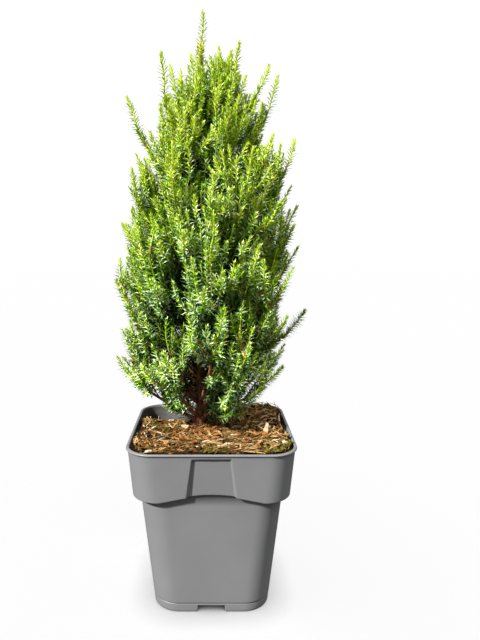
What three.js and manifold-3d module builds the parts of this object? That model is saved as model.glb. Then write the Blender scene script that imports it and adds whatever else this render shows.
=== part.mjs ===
// A compressa common juniper in a square plastic nursery pot, in millimetres, +Z up.
// The origin is on the ground, under the middle of the pot. The front of the pot faces -Y.
// The pot is filled with potting mix under a layer of bark mulch, and the trunk stands on the mulch.
// Ascending branches leave the trunk in tiers, and each ends in one mass of needle shoots.

import * as THREE from "three";
import { mergeVertices } from "three/addons/utils/BufferGeometryUtils.js";
import Module from "manifold-3d";

const wasm = await Module();
wasm.setup();

// Pot: half widths are measured across the flats of its rounded square section.
const potHeight = 124;
const rimHalf = 59;
const lipDepth = 2.2;
const lipProud = 0.9;
const collarTopHalf = rimHalf - lipProud;
const collarFootHalf = 55.2;
const collarFoot = 88.4;
const collarRise = 3.7;
const archRise = 1.4;
const bodyTopHalf = 51.4;
const bodyTop = collarFoot + 10;
const bodyFootHalf = 42;
const cornerRadius = 19;
const cornerSteps = 5;
const edgeRound = 0.6;
const wall = 1.3;
const stepThickness = 1.7;
const footHeight = 6.4;
const footLedge = 0.5;
const footWall = 1.8;
const floorFoot = 5.4;
const floorTop = 7;
const notchWidth = 18.5;
const drainRadius = 4.2;
const drainSpread = 24;
const drainSides = 10;

// Recessed panel in the middle of each side of the collar.
const panelTopHalf = 12.4;
const panelFootHalf = 15.6;
const panelTop = 119.4;
const panelDepth = 1.4;
const panelLeaning = 1.35;
const draftTop = 1.3;
const draftFoot = 2.7;

// Filling.
const clearance = 0.3;
const mixTop = 103;
const mulchLevel = 119.7;
const moundHeight = 1.3;
const moundFlat = 9;
const moundReach = 32;
const heapHeight = 1.2;
const dipMiddle = [-32, 56];
const dipDepth = 8;
const dipFlat = 14;
const dipReach = 50;
const mulchRipple = 1;
const mulchRings = [1, 0.82, 0.64, 0.47, 0.3, 0.13];
const chipCount = 18;

// Trunk: the thickness falls evenly from the ground to the tip, with a flare over the roots.
const trunkTop = new THREE.Vector3(-6.5, 2, 372);
const trunkBase = new THREE.Vector3(-10, 8, mulchLevel + moundHeight + clearance);
const trunkSway = 1.6;
const trunkBaseRadius = 2.6;
const trunkTopRadius = 0.9;
const flareRadius = 2.4;
const flareHeight = 5;
const trunkRings = 16;
const trunkSides = 10;
const trunkRingCrowding = 1.9;
const trunkRoughness = 0.03;

// Crown: each tier is a ring of branches. They leave the trunk near one height, and their tips stand
// near another, at a reach from the middle of the crown. The first part of the lower ones is bare.
const crownLean = -6.5;
const crownStraight = [210, 300];
const tiers = [
  { name: "skirt", count: 7, turn: 38, from: 128, to: 184, reach: 60, bough: 22 },
  { name: "spur", count: 1, turn: 350, from: 156, to: 206, reach: 75.5, bough: 0 },
  { name: "low", count: 6, turn: 40, from: 142, to: 228, reach: 64, bough: 36 },
  { name: "middle", count: 7, turn: 12, from: 174, to: 278, reach: 62, bough: 0 },
  { name: "high", count: 7, turn: 38, from: 222, to: 326, reach: 58, bough: 0 },
  { name: "stray", count: 1, turn: 184, from: 290, to: 366, reach: 61, bough: 0 },
  { name: "top", count: 5, turn: 5, from: 272, to: 374, reach: 46, bough: 0 },
  { name: "crest", count: 3, turn: 345, from: 320, to: 382, reach: 23, bough: 0 },
];
const leaderTip = new THREE.Vector3(-6.6, 1, 419);
const turnJitter = 14;
const fromJitter = 22;
const toJitter = 28;
const reachJitter = 0.08;
const outBend = 0.66;
const upBend = 0.36;

// Outer surface of the crown, as pairs of a height and a radius.
const crownProfile = [
  [120, 34],
  [150, 54],
  [178, 65.5],
  [295, 65.5],
  [322, 57],
  [345, 47],
  [375, 34],
  [392, 20],
  [404, 3],
  [500, 3],
];

// Boughs, and the masses on them: a dense core round the stem, with sprays standing out of it.
const boughRadius = 1.4;
const boughTipRadius = 1.1;
const boughSides = 6;
const boughRings = 4;
const bareRadius = 0.95;
const bareShare = 0.16;
const coreRadius = 5.4;
const coreSides = 6;
const coreStep = 9.6;
const slimLength = 85;
const sprayReach = 5;
const sprayForward = 6.2;
const tipRadius = 1;
const tipReach = 1.5;

// Side shoots: a slim stem with needles in opposite pairs, each pair turned square to the last.
const shootRadius = 1.7;
const shootTipRadius = 0.9;
const shootSides = 4;
const whorlSpacing = 7.3;
const needleReach = 4.6;
const needleForward = 4.6;
const sideShoots = 6;
const sideTries = 16;
const sideLength = 33;
const sideLean = 0.9;
const sideLift = 0.35;
const goldenTurn = 2.4;
const shootGap = 0.4;
const heldStep = 3;

const plastic = new THREE.MeshStandardMaterial({ color: 0x8a8c8e, roughness: 0.55, metalness: 0 });
const peat = new THREE.MeshStandardMaterial({ color: 0x3a2a1e, roughness: 1, metalness: 0 });
const barkMulch = new THREE.MeshStandardMaterial({ color: 0x8f6a44, roughness: 0.95, metalness: 0 });
const bark = new THREE.MeshStandardMaterial({ color: 0x7a4630, roughness: 0.9, metalness: 0 });
const needles = new THREE.MeshStandardMaterial({ color: 0x6f9a35, roughness: 0.7, metalness: 0 });

const part = new THREE.Group();
part.name = "potted_compressa_juniper";

// The triangles of the largest body in a solid. Hollows sealed by fusing and loose scraps are left out.
function largestBody(triVerts) {
  const parents = [];
  const rootOf = (vertex) => {
    let root = vertex;
    while (parents[root] !== undefined) root = parents[root];
    return root;
  };
  for (let i = 0; i < triVerts.length; i += 3) {
    const first = rootOf(triVerts[i]);
    for (const vertex of [triVerts[i + 1], triVerts[i + 2]]) {
      const other = rootOf(vertex);
      if (other !== first) parents[other] = first;
    }
  }
  const bodies = new Map();
  for (let i = 0; i < triVerts.length; i += 3) {
    const root = rootOf(triVerts[i]);
    if (!bodies.has(root)) bodies.set(root, []);
    bodies.get(root).push(triVerts[i], triVerts[i + 1], triVerts[i + 2]);
  }
  return [...bodies.values()].sort((a, b) => b.length - a.length)[0];
}

function addPiece(name, solid, material) {
  const { numProp, vertProperties, triVerts } = solid.getMesh();
  const geometry = new THREE.BufferGeometry();
  geometry.setAttribute("position", new THREE.BufferAttribute(new Float32Array(vertProperties), numProp));
  geometry.setIndex(largestBody(triVerts));
  geometry.computeVertexNormals();
  const piece = new THREE.Mesh(geometry, material);
  piece.name = name;
  part.add(piece);
}

function solidOf(geometry) {
  const bare = new THREE.BufferGeometry();
  bare.setAttribute("position", geometry.getAttribute("position"));
  if (geometry.index) bare.setIndex(geometry.index);
  const merged = mergeVertices(bare, 1e-4);
  return new wasm.Manifold(
    new wasm.Mesh({
      numProp: 3,
      vertProperties: merged.attributes.position.array,
      triVerts: new Uint32Array(merged.index.array),
    }),
  );
}

// A repeatable number from 0 to 1 for each pair of whole numbers.
function chance(a, b) {
  const x = Math.sin(a * 127.1 + b * 311.7) * 43758.5453;
  return x - Math.floor(x);
}

const spread = (a, b) => chance(a, b) - 0.5;

const middleOf = (ring) =>
  ring.reduce((sum, point) => sum.add(point), new THREE.Vector3()).divideScalar(ring.length);

// A closed solid through a stack of rings of equal size, each end closed by a fan to a middle point.
// A quad is split so that a corner standing out on every second column has four faces round it.
function loft(rings, first = middleOf(rings[0]), last = middleOf(rings[rings.length - 1])) {
  const size = rings[0].length;
  const points = [...rings.flat(), first, last];
  const faces = [];
  for (let k = 0; k + 1 < rings.length; k++) {
    for (let j = 0; j < size; j++) {
      const next = (j + 1) % size;
      const [a, b, c, d] = [k * size + j, k * size + next, (k + 1) * size + next, (k + 1) * size + j];
      if ((k + j) % 2) faces.push(a, b, c, a, c, d);
      else faces.push(a, b, d, b, c, d);
    }
  }
  const lastRing = (rings.length - 1) * size;
  for (let j = 0; j < size; j++) {
    const next = (j + 1) % size;
    faces.push(points.length - 2, next, j);
    faces.push(points.length - 1, lastRing + j, lastRing + next);
  }
  const geometry = new THREE.BufferGeometry().setFromPoints(points);
  geometry.setIndex(faces);
  return solidOf(geometry);
}

// A rounded square ring, anticlockwise. The height may vary along each side.
function squareRing(half, radius, heightAt, flatSteps, steps) {
  const flat = half - radius;
  const ring = [];
  for (let side = 0; side < 4; side++) {
    const turn = new THREE.Matrix4().makeRotationZ((side * Math.PI) / 2);
    const local = [];
    for (let i = 0; i < flatSteps; i++) {
      local.push(new THREE.Vector3(half, flat * ((2 * i) / flatSteps - 1), 0));
    }
    for (let i = 0; i < steps; i++) {
      const angle = ((i / steps) * Math.PI) / 2;
      local.push(new THREE.Vector3(flat + radius * Math.cos(angle), flat + radius * Math.sin(angle), 0));
    }
    for (const point of local) {
      point.z = heightAt(point.y);
      ring.push(point.applyMatrix4(turn));
    }
  }
  return ring;
}

// A loft of rounded squares, each given by its half width and its height.
function squareLoft(sections, inset, flatSteps) {
  return loft(
    sections.map(([half, height]) => {
      const heightAt = typeof height === "function" ? height : () => height;
      return squareRing(half - inset, cornerRadius - inset, heightAt, flatSteps, cornerSteps);
    }),
  );
}

// The lower edge of the collar climbs from each corner to the panel, and arches across the panel.
function collarEdge(across) {
  const far = Math.abs(across);
  const panel = panelFootHalf + draftFoot;
  if (far < panel) return collarFoot + collarRise + archRise * (1 - (far / panel) ** 2);
  const corner = collarFootHalf - cornerRadius;
  return collarFoot + collarRise * THREE.MathUtils.clamp((corner - far) / (corner - panel), 0, 1);
}

// The cutter of one collar panel: a trapezoid that is deeper and has wider slopes at its foot, grown by
// an allowance.
function panelCutter(side, grown) {
  const lean = (collarTopHalf - collarFootHalf) / (potHeight - collarFoot);
  const foot = collarFoot - 12;
  const frame = (depth, leaning, draft) => {
    const drafts = draft ? [draftTop, draftFoot] : [0, 0];
    const top = panelTop + grown + drafts[0];
    const topHalf = panelTopHalf + grown + drafts[0];
    const widen = (panelFootHalf + drafts[1] - panelTopHalf - drafts[0]) / (panelTop - collarFoot);
    const corners = [
      [-topHalf - widen * (top - foot), foot],
      [-topHalf, top],
      [topHalf, top],
      [topHalf + widen * (top - foot), foot],
    ];
    return corners.map(([across, height]) => {
      return new THREE.Vector3(depth - leaning * lean * (potHeight - height), across, height);
    });
  };
  const inner = frame(collarTopHalf - panelDepth - grown, panelLeaning, false);
  const face = frame(collarTopHalf, 1, true);
  const outer = frame(rimHalf + 6, 0, true);
  const turn = new THREE.Matrix4().makeRotationZ((side * Math.PI) / 2);
  return loft([outer, face, inner].map((ring) => ring.map((point) => point.applyMatrix4(turn))));
}

// The space inside the walls, smaller by a gap all round.
function potSpace(gap) {
  const body = squareLoft(
    [
      [bodyFootHalf, floorTop + gap],
      [bodyTopHalf, bodyTop],
    ],
    wall + gap,
    1,
  );
  const collar = squareLoft(
    [
      [collarFootHalf, (across) => collarEdge(across) + stepThickness + gap],
      [collarTopHalf, potHeight + 1],
    ],
    wall + gap,
    8,
  );
  const panelled = [0, 1, 2, 3].reduce((left, side) => left.subtract(panelCutter(side, wall + gap)), collar);
  return panelled.add(body);
}

function pot() {
  const body = squareLoft(
    [
      [bodyFootHalf - edgeRound, 0],
      [bodyFootHalf, edgeRound],
      [bodyFootHalf + footLedge, footHeight],
      [bodyFootHalf + 0.1, footHeight + footLedge],
      [bodyTopHalf, bodyTop],
    ],
    0,
    1,
  );
  const collar = squareLoft(
    [
      [collarFootHalf - edgeRound, collarEdge],
      [collarFootHalf, (across) => collarEdge(across) + edgeRound],
      [collarTopHalf, potHeight - lipDepth - footLedge],
    ],
    0,
    8,
  );
  const lip = squareLoft(
    [
      [collarTopHalf - edgeRound, potHeight - lipDepth - lipProud],
      [collarTopHalf, potHeight - lipDepth - footLedge],
      [rimHalf, potHeight - lipDepth],
      [rimHalf, potHeight - edgeRound],
      [rimHalf - edgeRound, potHeight],
    ],
    0,
    1,
  );
  const underside = squareLoft(
    [
      [bodyFootHalf, -1],
      [bodyFootHalf + footLedge, floorFoot],
    ],
    footWall,
    1,
  );
  const notches = [
    solidOf(new THREE.BoxGeometry(3 * rimHalf, notchWidth, 2 * floorFoot)),
    solidOf(new THREE.BoxGeometry(notchWidth, 3 * rimHalf, 2 * floorFoot)),
  ];
  const drain = new THREE.CylinderGeometry(drainRadius, drainRadius, 4 * floorTop, drainSides).rotateX(Math.PI / 2);
  const drains = [solidOf(drain)];
  for (const [x, y] of [
    [-1, -1],
    [-1, 1],
    [1, -1],
    [1, 1],
  ]) {
    drains.push(solidOf(drain.clone().translate(x * drainSpread, y * drainSpread, 0)));
  }
  const panelled = [0, 1, 2, 3].reduce((left, side) => left.subtract(panelCutter(side, 0)), collar);
  const cuts = [potSpace(0), underside, ...notches, ...drains];
  return cuts.reduce((left, cut) => left.subtract(cut), panelled.add(body).add(lip));
}

// Height of the mulch: level with a low mound round the trunk and a heap towards the right, and sunk
// in the left corner at the back.
function mulchHeight(x, y) {
  const away = Math.hypot(x - trunkBase.x, y - trunkBase.y);
  const mound = 1 - THREE.MathUtils.smoothstep(away, moundFlat, moundFlat + moundReach);
  const heap = heapHeight * THREE.MathUtils.smoothstep(x, 5, 45);
  const fromDip = Math.hypot(x - dipMiddle[0], y - dipMiddle[1]);
  const dip = dipDepth * (1 - THREE.MathUtils.smoothstep(fromDip, dipFlat, dipReach));
  return mulchLevel + moundHeight * mound + heap * (1 - mound) - dip;
}

function slab(from, to) {
  return solidOf(new THREE.BoxGeometry(3 * rimHalf, 3 * rimHalf, to - from).translate(0, 0, (from + to) / 2));
}

// The layer of mulch: rings that close in on the trunk, and splinters of bark half sunk in them.
function mulch() {
  const outline = squareRing(rimHalf, cornerRadius, () => 0, 3, 4);
  const rings = mulchRings.map((share, k) =>
    outline.map((corner, j) => {
      const point = corner.clone().sub(trunkBase).multiplyScalar(share).add(trunkBase);
      const isFlat = k === mulchRings.length - 1;
      point.z = isFlat ? mulchLevel + moundHeight : mulchHeight(point.x, point.y) + mulchRipple * spread(k, j);
      return point;
    }),
  );
  const foot = outline.map((corner) => corner.clone().setZ(mixTop + clearance));
  const layer = loft([foot, ...rings]).intersect(potSpace(clearance));
  const chips = [];
  for (let i = 0; i < chipCount; i++) {
    const turn = goldenTurn * i;
    const away = 17 + (bodyTopHalf - 24) * chance(i, 12);
    const [x, y] = [away * Math.cos(turn), away * Math.sin(turn)];
    if (Math.hypot(x - trunkBase.x, y - trunkBase.y) < 2 * moundFlat) continue;
    const chip = new THREE.BoxGeometry(7 + 9 * chance(i, 13), 1.8 + 2 * chance(i, 14), 1.2)
      .rotateY(0.5 * spread(i, 15))
      .rotateZ(Math.PI * chance(i, 16))
      .translate(x, y, mulchHeight(x, y) + 0.3);
    chips.push(solidOf(chip));
  }
  return chips.reduce((whole, chip) => whole.add(chip), layer);
}

// Middle line of the trunk at a height, and its radius there.
function trunkAt(height) {
  const share = (height - trunkBase.z) / (trunkTop.z - trunkBase.z);
  const point = trunkBase.clone().lerp(trunkTop, share);
  point.x += trunkSway * Math.sin(2 * Math.PI * share);
  return point;
}

function trunkRadius(height) {
  const share = (height - trunkBase.z) / (trunkTop.z - trunkBase.z);
  const flare = flareRadius * Math.exp((trunkBase.z - height) / flareHeight);
  return THREE.MathUtils.lerp(trunkBaseRadius, trunkTopRadius, share) + flare;
}

function trunk() {
  const rings = Array.from({ length: trunkRings }, (_, k) => {
    const share = (k / (trunkRings - 1)) ** trunkRingCrowding;
    const height = THREE.MathUtils.lerp(trunkBase.z, trunkTop.z, share);
    return Array.from({ length: trunkSides }, (_, j) => {
      const angle = (2 * Math.PI * j) / trunkSides;
      const radius = trunkRadius(height) * (1 + trunkRoughness * spread(k, j));
      return trunkAt(height).add(new THREE.Vector3(radius * Math.cos(angle), radius * Math.sin(angle), 0));
    });
  });
  return loft(rings);
}

// At each share of a curve: the point, the direction ahead, and two directions square to it.
// The directions are carried along the curve without a twist.
function framesAlong(curve, shares) {
  let across = new THREE.Vector3(0.31, 0.95, 0.02);
  return shares.map((share) => {
    const ahead = curve.getTangent(share);
    across = across.clone().addScaledVector(ahead, -across.dot(ahead)).normalize();
    return { point: curve.getPoint(share), ahead, across, along: ahead.clone().cross(across) };
  });
}

function roundRing({ point, across, along }, radii, ahead) {
  return radii.map((radius, j) => {
    const angle = (2 * Math.PI * j) / radii.length;
    return point
      .clone()
      .addScaledVector(across, radius * Math.cos(angle))
      .addScaledVector(along, radius * Math.sin(angle))
      .add(ahead ? ahead[j] : new THREE.Vector3());
  });
}

// A bough is one tapering limb.
function limb(curve) {
  const shares = Array.from({ length: boughRings }, (_, k) => k / (boughRings - 1));
  const rings = framesAlong(curve, shares).map((frame, k) => {
    const radius = THREE.MathUtils.lerp(boughRadius, boughTipRadius, shares[k]);
    return roundRing(frame, Array(boughSides).fill(radius));
  });
  return loft(rings);
}

// Rings with an even number of corners, every second of which is the tip of a needle or spray.
function toothedRings(curve, shares, sides, coreAt, reachAt, forwardAt) {
  return framesAlong(curve, shares).map((frame, k) => {
    const share = shares[k];
    const isTip = (j) => reachAt(share) > 0 && (k + j) % 2 === 0;
    const radii = Array.from({ length: sides }, (_, j) => coreAt(share) + (isTip(j) ? reachAt(share) : 0));
    const pushes = radii.map((_, j) => frame.ahead.clone().multiplyScalar(isTip(j) ? forwardAt(share) : 0));
    return roundRing(frame, radii, pushes);
  });
}

const evenShares = (from, count) => Array.from({ length: count }, (_, k) => from + ((1 - from) * k) / count);

// The core of a mass swells from its bare stem, and narrows to the tip. A short mass is slimmer.
function massCore(share, length) {
  const swell = THREE.MathUtils.smoothstep(share, 0.5 * bareShare, 0.5);
  const narrow = THREE.MathUtils.smoothstep(share, 0.6, 0.92);
  const full = coreRadius * Math.min(1, length / slimLength);
  return THREE.MathUtils.lerp(bareRadius, THREE.MathUtils.lerp(full, tipRadius, narrow), swell);
}

function massReach(share) {
  if (share < bareShare) return 0;
  const narrow = THREE.MathUtils.smoothstep(share, 0.6, 0.95);
  return THREE.MathUtils.lerp(sprayReach, tipReach, narrow) * THREE.MathUtils.smoothstep(share, 0, 0.4);
}

function massBody(stem) {
  const length = stem.getLength();
  const shares = [0, ...evenShares(bareShare, Math.round(((1 - bareShare) * length) / coreStep))];
  const coreAt = (share) => massCore(share, length);
  const forwardAt = (share) => THREE.MathUtils.lerp(sprayForward, 0.4 * sprayForward, share);
  const rings = toothedRings(stem, shares, coreSides, coreAt, massReach, forwardAt);
  return loft(rings, stem.getPoint(0), stem.getPoint(1));
}

const shootCore = (share) => THREE.MathUtils.lerp(shootRadius, shootTipRadius, share);

function sideShoot({ curve, sunk }) {
  const length = curve.getLength();
  const shares = [0, ...evenShares(sunk, Math.max(2, Math.round((length * (1 - sunk)) / whorlSpacing)))];
  const reachAt = (share) => (share < sunk ? 0 : THREE.MathUtils.lerp(needleReach, 1, share ** 2));
  const rings = toothedRings(curve, shares, shootSides, shootCore, reachAt, () => needleForward);
  return loft(rings, curve.getPoint(0), curve.getPoint(1));
}

// The space that each piece holds, as balls along its middle line.
const held = [];
function ballsOf(curve, radiusAt) {
  const count = Math.ceil(curve.getLength() / heldStep);
  return Array.from({ length: count + 1 }, (_, i) => {
    return { point: curve.getPoint(i / count), radius: radiusAt(i / count) };
  });
}

function hold(owner, balls) {
  for (const ball of balls) held.push({ owner, ...ball });
}

// The middle of the crown stands a little to the left, and comes over the pot higher up.
function crownMiddle(height) {
  return crownLean * (1 - THREE.MathUtils.smoothstep(height, ...crownStraight));
}

function crownRadius(height) {
  const above = crownProfile.findIndex(([level]) => level > height);
  const [[low, lowRadius], [high, highRadius]] = crownProfile.slice(Math.max(0, above - 1));
  return THREE.MathUtils.mapLinear(height, low, high, lowRadius, highRadius);
}

// Over the pot nothing comes lower than the mulch, and beyond its walls nothing comes below the rim.
function groundAt(x, y) {
  const isInside = Math.max(Math.abs(x), Math.abs(y)) < bodyTopHalf;
  return isInside ? mulchHeight(x, y) + 1.5 : potHeight;
}

function isFree(owner, balls) {
  return balls.every(({ point, radius }) => {
    if (point.z - radius < groundAt(point.x, point.y) + clearance) return false;
    return held.every(
      (other) => other.owner === owner || point.distanceTo(other.point) > radius + other.radius + shootGap,
    );
  });
}

// A stem bends outwards first and then upwards.
function stemCurve(start, tip) {
  const bend = new THREE.Vector3(
    THREE.MathUtils.lerp(start.x, tip.x, outBend),
    THREE.MathUtils.lerp(start.y, tip.y, outBend),
    THREE.MathUtils.lerp(start.z, tip.z, upBend),
  );
  return new THREE.QuadraticBezierCurve3(start, bend, tip);
}

// The part of a quadratic curve between two shares of it.
function partOf(curve, from, to) {
  const middle = curve.v0
    .clone()
    .multiplyScalar((1 - from) * (1 - to))
    .addScaledVector(curve.v1, from * (1 - to) + to * (1 - from))
    .addScaledVector(curve.v2, from * to);
  return new THREE.QuadraticBezierCurve3(curve.getPoint(from), middle, curve.getPoint(to));
}

// A side shoot leaves its stem at a lean, on a side of its own, and then turns up beside it.
function sideCurve(stem, mass, number) {
  const share = 0.3 + 0.58 * ((number * 0.618 + chance(mass, 20 + number)) % 1);
  const [frame] = framesAlong(stem, [share]);
  const angle = goldenTurn * number + 2 * Math.PI * chance(mass, 30);
  const out = frame.across.multiplyScalar(Math.cos(angle)).addScaledVector(frame.along, Math.sin(angle));
  const length = sideLength * (0.8 + 0.4 * chance(mass, 40 + number)) * (1.2 - 0.45 * share);
  const bend = frame.point
    .clone()
    .addScaledVector(frame.ahead, 0.35 * length)
    .addScaledVector(out, 0.5 * sideLean * length);
  const tip = bend.clone().addScaledVector(frame.ahead, 0.4 * length).addScaledVector(out, 0.2 * length);
  tip.z += sideLift * length;
  return { curve: new THREE.QuadraticBezierCurve3(frame.point, bend, tip), sunk: massCore(share, stem.getLength()) / length };
}

// The trunk holds its space first, then the boughs and stems, and then the side shoots in rounds.
for (let height = trunkBase.z; height < trunkTop.z; height += heldStep) {
  held.push({ owner: "trunk", point: trunkAt(height), radius: trunkRadius(height) });
}

function massBalls(stem) {
  const length = stem.getLength();
  return ballsOf(stem, (share) => massCore(share, length) + massReach(share));
}

const masses = [];
for (const tier of tiers) {
  for (let i = 0; i < tier.count; i++) {
    const mass = masses.length + 1;
    const reach = tier.reach * (1 + reachJitter * spread(mass, 3));
    const from = tier.from + fromJitter * spread(mass, 2) * (tier.bough ? 0.4 : 1);
    const name = `${tier.name}_${i + 1}`;
    for (let attempt = 0; attempt < 14; attempt++) {
      const nudge = (attempt % 2 ? 1 : -1) * Math.ceil(attempt / 2) * 5;
      const turn = tier.turn + (360 * i) / tier.count + turnJitter * spread(mass, 1) + nudge;
      const azimuth = THREE.MathUtils.degToRad(turn);
      const tip = new THREE.Vector3(
        crownMiddle(tier.to) + reach * Math.cos(azimuth),
        reach * Math.sin(azimuth),
        tier.to + toJitter * spread(mass, 4),
      );
      const middle = trunkAt(from);
      const out = tip.clone().sub(middle).setZ(0);
      const rise = Math.atan2(upBend * (tip.z - from), outBend * out.length());
      const backOff = (tier.bough ? boughRadius : bareRadius) * Math.sin(rise);
      const start = middle.addScaledVector(out.normalize(), trunkRadius(from) + clearance + backOff);
      const whole = stemCurve(start, tip);
      const length = whole.getLength();
      const forkShare = tier.bough / length;
      const bough = tier.bough ? partOf(whole, 0, forkShare) : null;
      const boughBalls = bough ? ballsOf(bough, () => boughRadius) : [];
      const stem = bough ? partOf(whole, forkShare + clearance / length, 1) : whole;
      const stemBalls = massBalls(stem);
      if (!isFree(name, [...boughBalls, ...stemBalls].slice(3))) continue;
      hold(name, [...boughBalls, ...stemBalls]);
      masses.push({ name, bough, stem, sides: [] });
      break;
    }
  }
}
const leaderStart = trunkAt(trunkTop.z).setZ(trunkTop.z + clearance);
const leader = new THREE.QuadraticBezierCurve3(leaderStart, leaderStart.clone().lerp(leaderTip, 0.5), leaderTip);
hold("leader", massBalls(leader));
masses.push({ name: "leader", bough: null, stem: leader, sides: [] });

for (let number = 0; number < sideTries; number++) {
  masses.forEach((branch, index) => {
    if (branch.sides.length >= sideShoots) return;
    const side = sideCurve(branch.stem, index + 1, number);
    const tip = side.curve.v2;
    const away = Math.hypot(tip.x - crownMiddle(tip.z), tip.y);
    if (away > crownRadius(tip.z)) return;
    const balls = ballsOf(side.curve, (share) => (share < side.sunk ? shootRadius : shootRadius + needleReach));
    if (!isFree(branch.name, balls)) return;
    hold(branch.name, balls);
    branch.sides.push(side);
  });
}

addPiece("pot", pot(), plastic);
addPiece("potting_mix", potSpace(clearance).intersect(slab(0, mixTop)), peat);
addPiece("bark_mulch", mulch(), barkMulch);
addPiece("trunk", trunk(), bark);
for (const { name, bough } of masses) {
  if (bough) addPiece(`bough_${name}`, limb(bough), bark);
}
for (const { name, stem, sides } of masses) {
  addPiece(`foliage_${name}`, sides.reduce((left, side) => left.add(sideShoot(side)), massBody(stem)), needles);
}

export default part;
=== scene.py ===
import math

import bpy
import numpy as np
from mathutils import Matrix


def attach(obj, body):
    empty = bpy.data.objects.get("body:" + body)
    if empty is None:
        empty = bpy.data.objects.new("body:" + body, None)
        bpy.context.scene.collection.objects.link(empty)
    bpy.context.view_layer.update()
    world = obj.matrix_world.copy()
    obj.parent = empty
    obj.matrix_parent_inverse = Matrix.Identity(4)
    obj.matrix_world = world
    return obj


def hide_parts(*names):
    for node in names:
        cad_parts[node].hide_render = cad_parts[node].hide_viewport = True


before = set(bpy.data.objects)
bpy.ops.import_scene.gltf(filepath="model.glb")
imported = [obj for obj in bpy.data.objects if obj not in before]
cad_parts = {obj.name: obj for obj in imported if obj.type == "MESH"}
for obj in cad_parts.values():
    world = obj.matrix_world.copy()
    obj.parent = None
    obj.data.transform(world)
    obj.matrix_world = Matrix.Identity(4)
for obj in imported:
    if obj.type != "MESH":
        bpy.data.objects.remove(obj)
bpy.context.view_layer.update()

# The camera stands in front of the pot, as high as the middle of the crown, and looks slightly down.
# The plant stands left of the middle of the picture, which the sideways shift of the lens gives.
camera_distance = 0.4089
camera_height = 0.263
camera_pitch = 8.0
focal_pixels = 557.2
picture_height_pixels = 640
plant_left_of_middle_pixels = 28.5

camera_data = bpy.data.cameras.new("camera")
camera_data.sensor_width = 36.0
camera_data.lens = camera_data.sensor_width * focal_pixels / picture_height_pixels
camera_data.shift_x = plant_left_of_middle_pixels / picture_height_pixels
camera = bpy.data.objects.new("camera", camera_data)
camera.location = (0.0, -camera_distance, camera_height)
camera.rotation_euler = (math.radians(90.0 - camera_pitch), 0.0, 0.0)
bpy.context.collection.objects.link(camera)
bpy.context.scene.camera = camera
bpy.context.scene.view_settings.view_transform = "Standard"

# A white studio: even light from all round, a lamp far off to the left in front, which darkens the left
# walls of hollows and the band under the collar, and a weak wide one high up to the right.
studio_light = 0.43
studio_white = 1.1
lamp_color = (1.0, 0.985, 0.95)


def shown_to_lens(tree, strength, shown_strength, socket):
    """Gives a socket one strength for the light that it throws, and another where the lens sees it."""
    seen = tree.nodes.new("ShaderNodeLightPath")
    chosen = tree.nodes.new("ShaderNodeMapRange")
    chosen.inputs["To Min"].default_value = strength
    chosen.inputs["To Max"].default_value = shown_strength
    tree.links.new(seen.outputs["Is Camera Ray"], chosen.inputs["Value"])
    tree.links.new(chosen.outputs["Result"], socket)


def far_lamp(name, turn, height, energy, width):
    """A lamp far off: turned so far to the left from the front, so high, and so wide, in degrees."""
    data = bpy.data.lights.new(name, "SUN")
    data.energy = energy
    data.angle = math.radians(width)
    data.color = lamp_color
    made = bpy.data.objects.new(name, data)
    made.rotation_euler = (math.radians(90.0 - height), 0.0, math.radians(-turn))
    bpy.context.collection.objects.link(made)
    return made


world = bpy.data.worlds.new("studio")
world.use_nodes = True
studio = world.node_tree.nodes["Background"]
studio.inputs["Color"].default_value = (1.0, 1.0, 1.0, 1.0)
shown_to_lens(world.node_tree, studio_light, studio_white, studio.inputs["Strength"])
bpy.context.scene.world = world
lamps = [far_lamp("key_lamp", 50.0, 36.0, 11.5, 5.0), far_lamp("fill_lamp", -50.0, 58.0, 2.6, 50.0)]

# The floor is a plain white sheet that the pot stands on. To the lens it glows white, with a painted soft
# shadow where the pot is near, and it throws little light back at the pot.
floor_half = 6.0
floor_glow = 0.78
shade_reach = 0.022
painted_shadow_tones = ((0.15, 0.03), (0.28, 0.36), (0.45, 0.60), (0.65, 0.76), (0.85, 0.89))
floor_mesh = bpy.data.meshes.new("floor")
floor_corners = [(floor_half * x, floor_half * y, 0) for x, y in ((-1, -1), (1, -1), (1, 1), (-1, 1))]
floor_mesh.from_pydata(floor_corners, [], [(0, 1, 2, 3)])
floor = bpy.data.objects.new("floor", floor_mesh)
bpy.context.collection.objects.link(floor)


def plain_material(name, color, roughness, specular=0.4):
    """A new material with one shader: returns it with its node tree and the shader."""
    material = bpy.data.materials.new(name)
    material.use_nodes = True
    shader = material.node_tree.nodes["Principled BSDF"]
    shader.inputs["Base Color"].default_value = (*color, 1.0)
    shader.inputs["Roughness"].default_value = roughness
    shader.inputs["Specular IOR Level"].default_value = specular
    return material, material.node_tree, shader


paper, paper_tree, paper_shader = plain_material("white_sheet", (0.5, 0.5, 0.5), 1.0, 0.0)
# The glow is darkened where the pot closes the floor in: a painted soft shadow, black under the pot.
contact_shadow = paper_tree.nodes.new("ShaderNodeAmbientOcclusion")
contact_shadow.inputs["Distance"].default_value = shade_reach
tones = paper_tree.nodes.new("ShaderNodeValToRGB")
for openness, tone in painted_shadow_tones:
    tones.color_ramp.elements.new(openness).color = (tone, tone, tone, 1.0)
paper_tree.links.new(contact_shadow.outputs["AO"], tones.inputs["Fac"])
paper_tree.links.new(tones.outputs["Color"], paper_shader.inputs["Emission Color"])
shown_to_lens(paper_tree, 0.0, floor_glow, paper_shader.inputs["Emission Strength"])
floor_mesh.materials.append(paper)

# The lamps don't light the floor, so the pot throws no hard shadow onto it.
shaded = bpy.data.collections.new("shaded_from_lamps")
shaded.objects.link(floor)
shaded.collection_objects[0].light_linking.link_state = "EXCLUDE"
for lamp in lamps:
    lamp.light_linking.receiver_collection = shaded

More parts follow.
